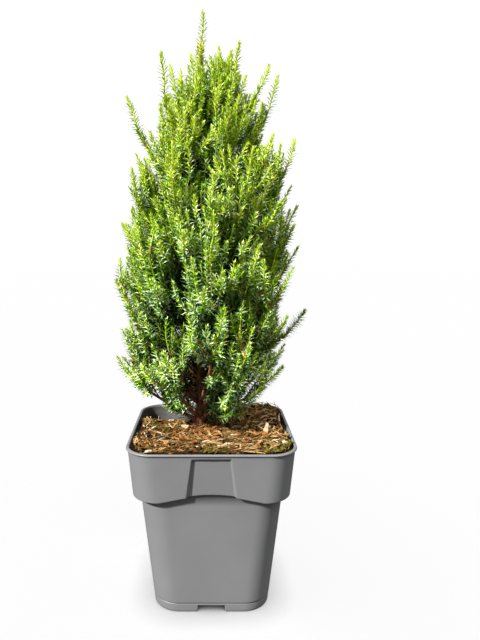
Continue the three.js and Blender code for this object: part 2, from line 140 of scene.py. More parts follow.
# The pot is one thin shell of grey recycled plastic, moulded in one shot. A collar with a rolled lip
# stands out over a tapered body, and a recessed trapezoid panel opens downwards on each side of it.
# The pot stands on a foot rim with a notch in each side, and its raised floor has drain holes.
mm = 0.001
pot_height = 124.0
rim_half = 59.0
collar_top_half = 58.1
collar_foot_half = 55.2
collar_foot = 88.4
collar_rise = 3.7
arch_rise = 1.4
body_top_half = 51.4
body_top = collar_foot + 10
body_foot_half = 42.0
corner_radius = 19.0
wall = 1.3
foot_height = 6.4
foot_ledge = 0.5
foot_wall = 1.8
floor_foot = 5.4
floor_top = 7.0
notch_half = 9.25
drain_radius = 4.2
drain_spread = 24.0
panel_top_half = 12.4
panel_foot_half = 15.6
panel_top = 120.2
panel_depth_top = 1.7
panel_depth_foot = 2.6
draft_top = 0.9
draft_foot = 1.7


def smoothstep(x, low, high):
    """0 below low and 1 above high, with an S-shaped rise between them."""
    share = np.clip((x - low) / (high - low), 0.0, 1.0)
    return share * share * (3.0 - 2.0 * share)


# Columns round the pot, the same on each side: those inside the panel or notch, those on its slanted
# edge, those on the rest of the flat, and those round the corner. recess_share tells the panel's depth.
panel_columns = np.array([0.0, 0.2, 0.4, 0.6, 0.8, 0.975, 1.0])
edge_columns = np.array([0.12, 0.88, 1.0])
flat_columns = np.array([0.02, 0.2, 0.4, 0.6, 0.8, 1.0])
corner_columns = np.linspace(0.0, 0.5 * math.pi, 15)[1:-1]
recess_half = np.concatenate([np.ones(7), 1.0 - edge_columns, np.zeros(6)])
recess_share = np.concatenate([recess_half[:0:-1], recess_half, np.zeros(len(corner_columns))])
recess_share = np.tile(recess_share, 4)


def collar_edge(across):
    """Height of the collar's lower edge: it climbs from each corner to the panel and arches across it."""
    far = np.abs(across)
    corner, panel = collar_foot_half - corner_radius, panel_foot_half + draft_foot
    climb = collar_foot + collar_rise * np.clip((corner - far) / (corner - panel), 0.0, 1.0)
    arch = collar_foot + collar_rise + arch_rise * (1.0 - (far / panel) ** 2)
    return np.where(far < panel, arch, climb)


def panel_lines(height):
    """Half width of the panel's flat, width of the slope beside it, and its depth, at a height: each
    changes evenly from the panel's top to its foot, and below that the lines run down to the notch."""
    share = (panel_top - height) / (panel_top - collar_foot - collar_rise)
    below = np.clip(height / collar_foot, 0.0, 1.0)
    half = panel_top_half + (panel_foot_half - panel_top_half) * np.minimum(share, 1.0)
    half = half - (panel_foot_half - notch_half) * (1.0 - below)
    draft = draft_top + (draft_foot - draft_top) * np.clip(share, 0.0, 1.0) * below
    depth = panel_depth_top + (panel_depth_foot - panel_depth_top) * np.clip(share, 0.0, 1.0)
    return half, draft, depth


def pot_ring(half, radius, line_height, recess):
    """One ring of the rounded square: four flats and four quarter circles, moved in on the columns of
    the panel by a share of its depth. Returns x, y and the distance across the nearest side."""
    flat = half - radius
    line, draft, depth = panel_lines(line_height)
    draft = min(draft, 0.5 * (flat - line))
    right = np.concatenate([line * panel_columns, line + draft * edge_columns])
    right = np.concatenate([right, right[-1] + (flat - right[-1]) * flat_columns])
    across = np.concatenate([-right[:0:-1], right, flat + radius * np.sin(corner_columns)])
    out = np.concatenate([np.full(2 * len(right) - 1, half), flat + radius * np.cos(corner_columns)])
    across, out = np.tile(across, 4), np.tile(out, 4) - recess * depth * recess_share
    side = np.repeat(np.arange(4), len(across) // 4) * 0.5 * math.pi
    x = out * np.cos(side) - across * np.sin(side)
    y = out * np.sin(side) + across * np.cos(side)
    return x, y, across


def pot_station(half, height, inset=0.0, recess=0.0, notched=False):
    """A level ring of points in the pot's wall, arched up over the notches where it is notched."""
    x, y, _ = pot_ring(half - inset, corner_radius - inset, height, recess)
    z = np.full_like(x, height)
    if notched:
        z = z + 0.97 * (floor_foot - 0.1 - z) * recess_share
    return np.stack([x, y, z], axis=1)


def collar_station(half, share, above, recess, inset=0.0):
    """A ring of the collar: a share of the way from its lower edge up to the panel's top, and so far
    above that edge in mm. The panel's slanted sides follow the ring's own height there."""
    at_panel = collar_foot + collar_rise + above
    line_height = at_panel + share * (panel_top - at_panel)
    x, y, across = pot_ring(half - inset, corner_radius - inset, line_height, recess)
    edge = collar_edge(np.where(np.abs(across) > half - corner_radius, collar_foot_half, across)) + above
    return np.stack([x, y, edge + share * (panel_top - edge)], axis=1)


def body_half_at(height):
    """Half width of the tapered body at a height."""
    return body_foot_half + (body_top_half - body_foot_half) * height / body_top


def collar_half_at(height):
    """Half width of the collar at a height."""
    share = (height - collar_foot) / (pot_height - collar_foot)
    return collar_foot_half + (collar_top_half - collar_foot_half) * share


def pot_shell():
    """All stations from the underside of the floor, down inside the foot, up the outside, over the lip
    and down the inside to the top of the floor."""
    foot = body_foot_half
    inside_foot = (
        # half width past the foot's, height, inset past the foot's wall
        (foot_ledge, floor_foot, 12.0), (foot_ledge, floor_foot, 0.6), (0.4, floor_foot - 0.4, 0.0),
        (0.0, 0.5, 0.0), (0.0, 0.12, -0.12), (0.0, 0.0, -0.4),
    )
    rows = [pot_station(foot + out, z, foot_wall + inset, 0, True) for out, z, inset in inside_foot]
    rows += [pot_station(foot - cut, z, 0, 0, True) for cut, z in ((0.6, 0.0), (0.2, 0.15), (0.0, 0.6))]
    rows += [pot_station(foot + foot_ledge * z / foot_height, z, 0, 0, True) for z in (2.0, 3.6, 5.0, 5.9)]
    rows += [pot_station(foot + out, z) for out, z in ((0.48, 6.15), (0.36, 6.4), (0.08, 6.6))]
    rows += [pot_station(body_half_at(z), z) for z in (6.9, 8.0, 12.0, *np.linspace(20.0, 84.0, 12))]
    body_half = body_half_at(collar_foot)
    under_collar = ((0.0, 0.9), (0.5, 0.75), (0.86, 0.45), (0.92, 0.12), (0.97, 0.03), (1.0, 0.25))
    for outward, above in under_collar:
        half = body_half + outward * (collar_foot_half - body_half)
        rows.append(collar_station(half, 0.0, above, outward))
    for share in np.linspace(0.02, 0.97, 22):
        height = collar_foot + share * (panel_top - collar_foot)
        rows.append(collar_station(collar_half_at(height), share, 0.0, 1.0))
    panel_edge = ((120.2, 1.0), (120.36, 0.94), (120.42, 0.8), (120.47, 0.2), (120.55, 0.06), (120.8, 0.0))
    rows += [pot_station(collar_half_at(z), z, 0, depth) for z, depth in panel_edge]
    under_lip = ((-0.05, 122.3), (0.02, 122.7), (0.6, 122.8))
    rows += [pot_station(collar_top_half + out, z) for out, z in under_lip]
    lip = ((0.12, 122.82), (0.02, 122.92), (0.0, 123.1), (0.0, 123.4), (0.06, 123.55), (0.25, 123.85))
    rows += [pot_station(rim_half - cut, z) for cut, z in (*lip, (0.55, 123.98))]
    lip_inside = ((0.5, 124.0), (0.2, 123.9), (0.03, 123.6))
    rows += [pot_station(collar_top_half, z, wall - over) for over, z in lip_inside]
    inside = [(122.6, 0.0), (121.6, 0.0), (120.9, 0.3), (120.2, 0.8)]
    inside += [(z, 1.0) for z in (119.6, 116.0, 110.0, 104.0, 97.0)]
    rows += [pot_station(collar_half_at(z), z, wall, depth) for z, depth in inside]
    rows += [pot_station(body_half_at(z), z, wall) for z in (94.5, 60.0, 20.0, 8.0)]
    return [*rows, pot_station(body_half_at(floor_top), floor_top, wall + 0.6)]


def ring_quads(stations, sides):
    """Quads all the way round between each ring of points and the next, of so many sides each."""
    row, column = np.meshgrid(np.arange(stations - 1), np.arange(sides), indexing="ij")
    here, there = row * sides + column, row * sides + (column + 1) % sides
    return np.stack([here, there, there + sides, here + sides], axis=-1).reshape(-1, 4)


def tube_faces(count, stations, sides):
    """Quads along count closed tubes, and a fan of triangles to a point at each end of each. The
    vertices of a tube are its rings, station by station, and then its first and last end points. They
    face out where the rings run anticlockwise seen from ahead."""
    edge, beside = np.arange(sides), (np.arange(sides) + 1) % sides
    top = (stations - 1) * sides
    first, last = np.full(sides, stations * sides), np.full(sides, stations * sides + 1)
    fans = [np.stack([first, beside, edge], axis=1), np.stack([last, top + edge, top + beside], axis=1)]
    step = (np.arange(count) * (stations * sides + 2))[:, None, None]
    return (ring_quads(stations, sides) + step).reshape(-1, 4), (np.concatenate(fans) + step).reshape(-1, 3)


def closed_stack(rings, first_pole, last_pole):
    """Vertices and faces of a stack of rings that is closed by a pole at each end."""
    return np.concatenate([*rings, [first_pole, last_pole]]), *tube_faces(1, len(rings), len(rings[0]))


def mesh_piece(name, points, quads, triangles, materials, smooth=True, face_slots=None):
    """A mesh object at the origin from arrays in millimetres: the quads come before the triangles."""
    mesh = bpy.data.meshes.new(name)
    quads = np.asarray(quads, dtype=np.int32).reshape(-1, 4)
    triangles = np.asarray(triangles, dtype=np.int32).reshape(-1, 3)
    mesh.vertices.add(len(points))
    mesh.vertices.foreach_set("co", (np.asarray(points) * mm).astype(np.float32).ravel())
    mesh.loops.add(quads.size + triangles.size)
    mesh.loops.foreach_set("vertex_index", np.concatenate([quads.ravel(), triangles.ravel()]))
    mesh.polygons.add(len(quads) + len(triangles))
    starts = np.concatenate([np.arange(len(quads)) * 4, quads.size + np.arange(len(triangles)) * 3])
    mesh.polygons.foreach_set("loop_start", starts.astype(np.int32))
    if face_slots is not None:
        mesh.polygons.foreach_set("material_index", face_slots.astype(np.int32))
    mesh.polygons.foreach_set("use_smooth", np.full(len(starts), smooth))
    mesh.update(calc_edges=True)
    mesh.validate()
    for material in materials:
        mesh.materials.append(material)
    piece = bpy.data.objects.new(name, mesh)
    bpy.context.collection.objects.link(piece)
    return piece


def noise_at(tree, place, size, detail):
    """A noise of a given size in metres, at the places that a Mapping node gives."""
    noise = tree.nodes.new("ShaderNodeTexNoise")
    noise.inputs["Scale"].default_value = 1.0 / size
    noise.inputs["Detail"].default_value = detail
    tree.links.new(place.outputs["Vector"], noise.inputs["Vector"])
    return noise.outputs["Fac"]


def mottled_finish(name, low, high, mottle, grain, roughness, specular, detail=4.0, stretch=(1.0, 1.0, 1.0)):
    """A material whose colour drifts from low to high with a noise of the mottle's size in metres. Its
    grain is a fine bump from a noise: size and depth in metres, and strength."""
    material, tree, shader = plain_material(name, high, roughness, specular)
    texture, place = tree.nodes.new("ShaderNodeTexCoord"), tree.nodes.new("ShaderNodeMapping")
    place.inputs["Scale"].default_value = stretch
    tree.links.new(texture.outputs["Object"], place.inputs["Vector"])
    ramp = tree.nodes.new("ShaderNodeValToRGB")
    for element, position, color in zip(ramp.color_ramp.elements, (0.3, 0.7), (low, high)):
        element.position = position
        element.color = (*color, 1.0)
    tree.links.new(noise_at(tree, place, mottle, detail), ramp.inputs["Fac"])
    tree.links.new(ramp.outputs["Color"], shader.inputs["Base Color"])
    grain_size, grain_depth, grain_strength = grain
    bump = tree.nodes.new("ShaderNodeBump")
    bump.inputs["Strength"].default_value = grain_strength
    bump.inputs["Distance"].default_value = grain_depth
    tree.links.new(noise_at(tree, place, grain_size, 3.0), bump.inputs["Height"])
    tree.links.new(bump.outputs["Normal"], shader.inputs["Normal"])
    return material


# The plastic is plain grey. Inside, below the lip, it is dull with dried soil and darker: partly the soil,
# partly painted shade from the crown and the mulch.
grey_tones = ((0.112, 0.114, 0.119), (0.124, 0.126, 0.131))
soil_and_shade_tones = ((0.058, 0.057, 0.054), (0.098, 0.097, 0.095))
pot_plastic = mottled_finish("grey_pot_plastic", *grey_tones, 0.035, (0.0011, 0.0002, 0.25), 0.46, 0.45)
soil_and_shade_plastic = mottled_finish("soiled_and_shaded_pot_plastic", *soil_and_shade_tones, 0.006, (0.0008, 0.0003, 0.4), 0.8, 0.2)
soil_and_shade_below = 123.0
pot_rows = pot_shell()
pot_sides = len(pot_rows[0])
lip_row = max(row for row, ring in enumerate(pot_rows) if ring[0, 2] > soil_and_shade_below)
pot_slots = np.repeat([*(np.arange(len(pot_rows) - 1) > lip_row), False, True], pot_sides)
pot_arrays = closed_stack(pot_rows, (0.0, 0.0, floor_foot), (0.0, 0.0, floor_top))
pot = mesh_piece("pot_shell", *pot_arrays, [pot_plastic, soil_and_shade_plastic], True, pot_slots)

# The drain holes are cut by five round plugs, one in the middle and one towards each corner.
drain_sides = 24
drain_plug_top = 12.0
drain_middles = drain_spread * np.array([(0, 0, 0), (-1, -1, 0), (-1, 1, 0), (1, -1, 0), (1, 1, 0)])
angle = np.linspace(0.0, math.tau, drain_sides, endpoint=False)
circle = drain_radius * np.stack([np.cos(angle), np.sin(angle), 0.0 * angle], axis=1)
raised = np.array((0.0, 0.0, drain_plug_top))
plug = np.concatenate([circle, circle + raised, [0.0 * raised, raised]])
plugs = (plug + drain_middles[:, None]).reshape(-1, 3)
plug_faces = tube_faces(len(drain_middles), 2, drain_sides)
drain_cutter = mesh_piece("drain_cutter", plugs, *plug_faces, [pot_plastic])
cut = pot.modifiers.new("drain_holes", "BOOLEAN")
cut.operation = "DIFFERENCE"
cut.solver = "EXACT"
cut.object = drain_cutter
bpy.context.view_layer.objects.active = pot
bpy.ops.object.modifier_apply(modifier=cut.name)
bpy.data.objects.remove(drain_cutter)
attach(pot, "root")
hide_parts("pot")

# The potting mix fills the body of the pot up to the mulch. It is dark moist peat, pressed in by hand,
# and is seen only through the drain holes.
peat_tones = ((0.012, 0.008, 0.005), (0.05, 0.03, 0.018))
peat = mottled_finish("moist_peat", *peat_tones, 0.003, (0.0015, 0.001, 0.9), 0.95, 0.2)
mix_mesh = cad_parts["potting_mix"].data
mix_mesh.materials.clear()
mix_mesh.materials.append(peat)

# The mulch is a layer of shredded bark and straw-pale wood splinters over dark crumbs, with some green
# moss. It is strewn by hand: it mounds up to the trunk and is heaped higher towards the right.
mix_top = 103.0
clearance = 0.3
mulch_level = 119.7
mound_height = 1.3
mound_flat = 9.0
bank_height = 3.0
mound_reach = 32.0
heap_height = 1.2
dip_middle = (-36.0, 56.0)
dip_depth = 11.5
dip_flat = 20.0
dip_reach = 46.0
trunk_x, trunk_y, ground = -10.0, 8.0, mulch_level + mound_height + clearance
trunk_base = np.array((trunk_x, trunk_y, ground))
inner_half = 56.3
inner_radius = corner_radius - 1.5
bed_sunk = 1.2
bed_crumbs = ((0.9, 9.0), (0.55, 3.6), (0.3, 1.5))


def mulch_height(x, y):
    """The level, plus a mound that falls with the distance to the trunk, plus a heap to the right where
    there is no mound, plus a bank along the walls, less a dip in the left corner at the back."""
    from_trunk = np.hypot(x - trunk_x, y - trunk_y)
    mound = 1.0 - smoothstep(from_trunk, mound_flat, mound_flat + mound_reach)
    dip = 1.0 - smoothstep(np.hypot(x - dip_middle[0], y - dip_middle[1]), dip_flat, dip_reach)
    heap = heap_height * smoothstep(x, 5.0, 45.0) * (1.0 - mound)
    bank = bank_height * smoothstep(np.maximum(np.abs(x), -y), 14.0, 46.0) * (1.0 - dip)
    return mulch_level + mound_height * mound + heap + bank - dip_depth * dip


def ripple(x, y, size, seed):
    """Seven plane waves in chance directions with lengths round size, added up: about -1 to 1."""
    draw = np.random.default_rng(seed)
    turn, phase = draw.uniform(0, math.tau, (2, 7))
    length = size * draw.uniform(0.6, 1.6, 7)
    wave = np.asarray(x)[..., None] * np.cos(turn) + np.asarray(y)[..., None] * np.sin(turn)
    return np.sin(math.tau * wave / length + phase).sum(axis=-1) / 3.2


def mulch_bed():
    """Rings from the wall to the trunk: the outline of the pot's inside, drawn in towards the trunk by
    the ring's share, at the mulch's height plus three sizes of ripple."""
    x, y, _ = pot_ring(collar_half_at(116.0) - wall - 0.1, corner_radius - wall, 119.0, 1.0)
    low_half = collar_half_at(mix_top) - wall - clearance
    low_x, low_y, _ = pot_ring(low_half, corner_radius - wall, mix_top, 1.0)
    rings = [np.stack([low_x, low_y, np.full_like(x, mix_top + clearance)], axis=1)]
    for share in np.linspace(1.0, 0.03, 72):
        ring_x, ring_y = trunk_x + (x - trunk_x) * share, trunk_y + (y - trunk_y) * share
        crumb = sum(depth * ripple(ring_x, ring_y, size, 1 + i) for i, (depth, size) in enumerate(bed_crumbs))
        height = mulch_height(ring_x, ring_y) - bed_sunk + crumb * smoothstep(share, 0.05, 0.2)
        rings.append(np.stack([ring_x, ring_y, height], axis=1))
    middle = (trunk_x, trunk_y, mulch_level + mound_height - bed_sunk)
    return closed_stack(rings, (trunk_x, trunk_y, mix_top + clearance), middle)


humus_tones = ((0.003, 0.0015, 0.0005), (0.020, 0.010, 0.003))
humus = mottled_finish("dark_humus", *humus_tones, 0.0035, (0.0012, 0.0012, 0.9), 0.95, 0.06, 6.0)
bed = mesh_piece("mulch_bed", *mulch_bed(), [humus])
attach(bed, "root")
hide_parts("bark_mulch")


def within_walls(x, y, spare=0.9):
    """Whether a place lies inside the rounded square of the pot's inside, clear of it by spare."""
    half = inner_half - spare
    near, far = np.sort(np.abs([x, y]), axis=0)
    corner = np.hypot(np.maximum(near - half + inner_radius, 0), np.maximum(far - half + inner_radius, 0))
    return (corner < inner_radius) & ~((near < panel_foot_half) & (far > half - 2.2))


def strip_mesh(name, corners, materials, face_slots=None):
    """A piece of closed strips, each of four stations by four corners: quads round its sides and over
    both of its ends."""
    points = corners.reshape(-1, 3)
    one = np.concatenate([ring_quads(4, 4), [[3, 2, 1, 0], [12, 13, 14, 15]]])
    quads = one + np.arange(0, len(points), 16)[:, None, None]
    strips = mesh_piece(name, points, quads, [], materials, False, face_slots)
    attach(strips, "root")
    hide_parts("bark_mulch")


def strip_corners(line, side, face):
    """Four corners at each station of a line: to either side of it, and on its back and its face."""
    return np.stack([line - side - face, line + side - face, line + side + face, line - side + face], axis=-2)


beside_wall = 50.5
clear_of_trunk = 4.5


def splinters(
    name, material, count, seed, long, wide, thick, lift, curl, middle=(0.0, 0.0), reach=58.0, rough=0.2
):
    """Flat strips of wood strewn over the mulch. Each is four stations along a curved middle line, with
    corners at half its width and thickness, narrower at both ends. It follows the ground, and beside a
    wall also the wall. Those that would pass through the wall or stand in the trunk are left out."""
    draw = np.random.default_rng(seed)
    x, y = (start + reach * draw.uniform(-1, 1, (count, 1)) for start in middle)
    turn = draw.uniform(0, math.tau, (count, 1))
    along_wall = np.where(np.abs(x) > np.abs(y), 0.5 * math.pi, 0.0) + draw.normal(0, 0.4, (count, 1))
    turn = np.where(np.maximum(np.abs(x), np.abs(y)) > beside_wall, along_wall, turn)
    length, width, depth = (draw.uniform(*span, (count, 1)) for span in (long, wide, thick))
    ends = [draw.uniform(*span, (count, 1)) for span in ((0.25, 0.9), (0.75, 1.0), (0.2, 0.8))]
    narrow = np.hstack([ends[0], np.ones((count, 1)), *ends[1:]])
    run = np.linspace(-0.5, 0.5, 4)
    aside = draw.uniform(-curl, curl, (count, 1)) * length * (1 - 4 * run**2)
    ahead_x, ahead_y = np.cos(turn), np.sin(turn)
    px = x + ahead_x * run * length - ahead_y * aside
    py = y + ahead_y * run * length + ahead_x * aside
    tilt = draw.normal(0, rough, (count, 1)) * run * length
    arch = draw.uniform(0, 0.09, (count, 1)) * length * (1 - 4 * run**2)
    pz = mulch_height(px, py) + draw.uniform(*lift, (count, 1)) + tilt + arch
    roll = draw.normal(0, 1.9 * rough, (count, 1))
    side = np.stack([-ahead_y * np.cos(roll), ahead_x * np.cos(roll), np.sin(roll)], axis=-1)
    face = np.stack([ahead_y * np.sin(roll), -ahead_x * np.sin(roll), np.cos(roll)], axis=-1)
    side = side * (0.5 * width * narrow)[..., None]
    face = face * (0.5 * depth * (0.5 + 0.5 * narrow))[..., None]
    ok = within_walls(px[:, 0], py[:, 0]) & within_walls(px[:, 3], py[:, 3])
    ok &= np.hypot(px - trunk_x, py - trunk_y).min(axis=1) > clear_of_trunk
    strip_mesh(name, strip_corners(np.stack([px, py, pz], axis=-1), side, face)[ok], [material])


def wood_finish(name, low, high):
    """A dry wood material: two tones in streaks, and a fibrous bump."""
    return mottled_finish(name, low, high, 0.0022, (0.0006, 0.0005, 0.6), 0.85, 0.06, 5.0)


cream = wood_finish("cream_wood", (0.27, 0.195, 0.105), (0.52, 0.43, 0.30))
straw = wood_finish("straw_pale_wood", (0.100, 0.053, 0.014), (0.37, 0.235, 0.098))
tan_wood = wood_finish("tan_wood", (0.045, 0.021, 0.004), (0.125, 0.066, 0.017))
orange_bark = wood_finish("orange_bark", (0.095, 0.033, 0.007), (0.37, 0.150, 0.038))
brown_bark = wood_finish("brown_bark", (0.014, 0.006, 0.002), (0.066, 0.031, 0.010))
dark_bark = wood_finish("dark_bark", (0.004, 0.002, 0.001), (0.022, 0.011, 0.004))
moss = wood_finish("olive_moss", (0.020, 0.023, 0.003), (0.115, 0.105, 0.012))
splinters("splinters_dark", dark_bark, 1300, 11, (3, 12), (0.8, 3.2), (0.4, 1.2), (-0.9, 0.5), 0.1)
splinters("splinters_brown", brown_bark, 900, 18, (3, 12), (0.7, 3.0), (0.4, 1.1), (-0.7, 0.9), 0.1)
splinters("splinters_tan", tan_wood, 560, 12, (3, 14), (0.8, 2.9), (0.3, 0.9), (-0.4, 1.4), 0.06, rough=0.36)
splinters("splinters_straw", straw, 620, 13, (4, 15), (0.6, 1.7), (0.3, 0.8), (0.1, 2.2), 0.05, rough=0.38)
splinters("splinters_cream", cream, 150, 19, (4, 11), (0.7, 1.9), (0.5, 1.1), (0.6, 2.2), 0.04, rough=0.38)
orange_sizes = ((0.6, 1.8), (0.3, 0.9), (0.0, 1.8), 0.08)
splinters("splinters_orange", orange_bark, 300, 14, (2.5, 11), *orange_sizes, rough=0.34)
heap_sizes = ((0.6, 1.8), (0.3, 0.8), (0.3, 2.0), 0.08)
splinters("splinters_orange_heap", orange_bark, 220, 15, (2.5, 9), *heap_sizes, (-13, -7), 17, 0.34)
splinters("fibres_tan", tan_wood, 240, 16, (9, 26), (0.3, 0.6), (0.25, 0.4), (0.6, 2.8), 0.28)
splinters("fibres_straw", straw, 150, 17, (9, 24), (0.3, 0.6), (0.25, 0.4), (1.0, 3.0), 0.28)
moss_sizes = ((1.2, 4), (0.5, 1.3), (0.4, 1.0), (0.3, 1.9), 0.3)
moss_patches = (
    # name, middle, reach, count
    ("moss_left", (-33, 0), 11, 260),
    ("moss_corner", (43, -46), 12, 260),
    ("moss_front", (2, -46), 9, 130),
    ("moss_back", (16, 20), 16, 220),
    ("moss_rim", (-52, 8), 8, 70),
)
for number, (name, middle, patch_reach, count) in enumerate(moss_patches):
    splinters(name, moss, count, 30 + number, *moss_sizes, middle, patch_reach, 0.5)

# One long chip stands slanting in the mulch, towards the front at the right. Its foot still has red bark
# on it, and its broken top shows the pale wood.
chip_line = np.array((35.6, -30.0, 119.0)) + np.array((0.0, 0.3, 0.62, 1.0))[:, None] * (5.0, 11.4, 13.6)
chip_half_widths = np.array((1.1, 1.8, 1.6, 0.7))[:, None]
chip_half_depth = 0.55
chip_ahead = (chip_line[3] - chip_line[0]) / np.linalg.norm(chip_line[3] - chip_line[0])
chip_side = np.cross(chip_ahead, (0.35, -0.8, 0.5))
chip_side = chip_side / np.linalg.norm(chip_side)
chip_face = np.cross(chip_ahead, chip_side) * chip_half_depth
chip_corners = strip_corners(chip_line, chip_side * chip_half_widths, chip_face)
chip_slots = np.repeat([0, 1, 0, 1], [8, 4, 1, 1])
strip_mesh("standing_chip", chip_corners, [orange_bark, cream], chip_slots)

# The trunk is one slender stem with thin, stringy, red-brown bark. It rises from a small root flare in
# the mulch, leans and sways a little, and thins evenly to the start of the leader.
trunk_top = np.array((-6.5, 2.0, 372.0))
trunk_sway = 1.6
trunk_base_radius = 2.6
trunk_top_radius = 0.9
flare_radius = 2.4
flare_height = 5.0
trunk_sunk = 2.0


def trunk_at(height):
    """Points on the straight line from base to top at these heights, moved aside by one full sine wave."""
    share = (np.asarray(height, dtype=float) - ground) / (trunk_top[2] - ground)
    point = trunk_base + (trunk_top - trunk_base) * share[..., None]
    point[..., 0] += trunk_sway * np.sin(math.tau * share)
    return point


def trunk_radius(height):
    """The radius falls evenly with the height, plus a flare that dies away above the ground."""
    share = (height - ground) / (trunk_top[2] - ground)
    flare = flare_radius * np.exp(np.minimum(ground - height, 0.6) / flare_height)
    return trunk_base_radius + (trunk_top_radius - trunk_base_radius) * share + flare


def wander(points):
    """The points moved aside by up to about a millimetre, by slow waves in their own place, and not at
    the ground: x by waves in y and z, y by waves in z and x, z by waves in x and y."""
    x, y, z = points[..., 0], points[..., 1], points[..., 2]
    amount = 0.75 * smoothstep(z, 124.0, 150.0)
    aside = np.stack([
        np.sin(z / 9.3 + y / 15.0) + 0.6 * np.sin(z / 4.7 - y / 11.0 + 2.0),
        np.sin(z / 8.1 - x / 13.0 + 1.0) + 0.6 * np.sin(z / 5.3 + x / 10.0),
        0.5 * np.sin(x / 7.7 + y / 6.9),
    ], axis=-1)
    return points + amount[..., None] * aside


def bark_relief(height, angle, seed):
    """Stringy strips that run up the stem: waves round it whose phase drifts with the height."""
    drift = ripple(height, 0.0 * height, 34.0, seed)
    strips = np.sin(5.0 * angle + 1.7 * drift + height / 19.0)
    strips = strips + 0.7 * np.sin(11.0 * angle - height / 11.0 + 2.0 * drift)
    return strips + 0.6 * np.sin(3.0 * angle + height / 5.5)


def trunk_mesh():
    """Rings round the trunk's middle line, closer together at the foot: radius times 1 plus the bark's
    relief, plus five root lobes that die away upwards."""
    stations, sides = 150, 28
    rise = trunk_top[2] + 0.2 - ground + trunk_sunk
    height = ground - trunk_sunk + rise * np.linspace(0, 1, stations) ** 1.35
    angle = np.linspace(0, math.tau, sides, endpoint=False)
    turn, level = np.meshgrid(angle, height)
    lobes = 0.16 * np.exp(-np.maximum(level - ground, 0) / 6.0) * np.sin(5 * turn + 0.8)
    radius = trunk_radius(level) * (1 + 0.045 * bark_relief(level, turn, 21) + lobes)
    ring = trunk_at(level) + np.stack([radius * np.cos(turn), radius * np.sin(turn), 0 * turn], axis=-1)
    ends = trunk_at(np.array([height[0], height[-1]]))
    return wander(np.concatenate([ring.reshape(-1, 3), ends])), *tube_faces(1, stations, sides)


bark_tones = ((0.085, 0.034, 0.019), (0.380, 0.170, 0.095))
bark_grain = (0.0007, 0.0006, 0.8)
trunk_bark = mottled_finish(
    "stringy_red_bark", *bark_tones, 0.0016, bark_grain, 0.88, 0.15, 6.0, (1.0, 1.0, 0.16)
)
trunk = mesh_piece("trunk_bark", *trunk_mesh(), [trunk_bark])
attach(trunk, "root")
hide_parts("trunk")

# The branches leave the trunk in tiers, bend outwards and then upwards, and fork into side shoots. The
# lowest ones start as bare boughs with the trunk's bark. Their rule is the one the solids follow.
crown_lean = -6.5
tiers = (
    # name, count, turn of the first, height of the start, height of the tips, reach, length of bare bough
    ("skirt", 7, 38, 128, 184, 60, 22),
    ("spur", 1, 350, 156, 206, 75.5, 0),
    ("low", 6, 40, 142, 228, 64, 36),
    ("middle", 7, 12, 174, 278, 62, 0),
    ("high", 7, 38, 222, 326, 58, 0),
    ("stray", 1, 184, 290, 366, 61, 0),
    ("top", 5, 5, 272, 374, 46, 0),
    ("crest", 3, 345, 320, 382, 23, 0),
)
leader_tip = np.array((-6.6, 1.0, 419.0))
turn_jitter = 14
from_jitter = 22
to_jitter = 28
reach_jitter = 0.08
out_bend = 0.66
up_bend = 0.36
crown_heights = (120, 150, 178, 295, 322, 345, 375, 392, 404, 500)
crown_radii = (34, 54, 65.5, 65.5, 57, 47, 34, 20, 3, 3)
bough_radius = 1.4
bough_tip_radius = 1.1
bare_radius = 0.95
bare_share = 0.16
core_radius = 5.4
slim_length = 85
spray_reach = 5
tip_radius = 1
tip_reach = 1.5
shoot_radius = 1.7
needle_reach = 4.6
side_shoots = 6
side_tries = 16
side_length = 33
side_lean = 0.9
side_lift = 0.35
side_first = 0.3
side_span = 0.58
golden_turn = 2.4
golden_share = 0.618
shoot_gap = 0.4
held_step = 3
turn_tries = 14
turn_nudge = 5
trunk_owner = -1
leader_owner = 999


def chance(a, b):
    """A repeatable number from 0 to 1 for each pair: the fraction of sin(127.1 a + 311.7 b) 43758.5453."""
    x = np.sin(np.asarray(a) * 127.1 + np.asarray(b) * 311.7) * 43758.5453
    return x - np.floor(x)


def on_curve(curves, shares):
    """Points of quadratic curves (start, bend, tip) at shares t: (1-t)^2 start + 2t(1-t) bend + t^2 tip."""
    start, bend, tip = (curves[..., i, None, :] for i in range(3))
    t = np.asarray(shares, dtype=float)[..., None]
    return (1 - t) ** 2 * start + 2 * t * (1 - t) * bend + t * t * tip


def unit(vectors):
    """Each vector divided by its length."""
    return vectors / np.linalg.norm(vectors, axis=-1, keepdims=True)


def heading(curves, shares):
    """Direction ahead along quadratic curves at shares t: (1-t)(bend - start) + t(tip - bend), length 1."""
    start, bend, tip = (curves[..., i, None, :] for i in range(3))
    t = np.asarray(shares, dtype=float)[..., None]
    return unit((1 - t) * (bend - start) + t * (tip - bend))


def square_to(ahead):
    """Two directions square to the one ahead: a fixed direction less its part ahead, and their cross."""
    fixed = np.array((0.31, 0.95, 0.02))
    across = unit(fixed - ahead * (ahead @ fixed)[..., None])
    return across, np.cross(ahead, across)


def length_of(curves):
    """Length of each curve, as the sum of 200 steps along it."""
    return np.linalg.norm(np.diff(on_curve(curves, np.linspace(0, 1, 201)), axis=-2), axis=-1).sum(axis=-1)


def part_of(curve, first, last):
    """The part of a quadratic curve between two shares of it, as a quadratic curve."""
    middle = first * (1 - last) + last * (1 - first)
    bend = curve[0] * (1 - first) * (1 - last) + curve[1] * middle + curve[2] * first * last
    return np.array([on_curve(curve, [first])[0], bend, on_curve(curve, [last])[0]])


def branch_curve(start, tip):
    """A curve whose bend is out_bend of the way to the tip outwards, and up_bend of it upwards."""
    return np.array([start, start + (np.array(tip) - start) * (out_bend, out_bend, up_bend), tip])


def crown_middle(height):
    """The middle of the crown is left of the pot's below, and over it higher up."""
    return crown_lean * (1 - smoothstep(height, 210.0, 300.0))


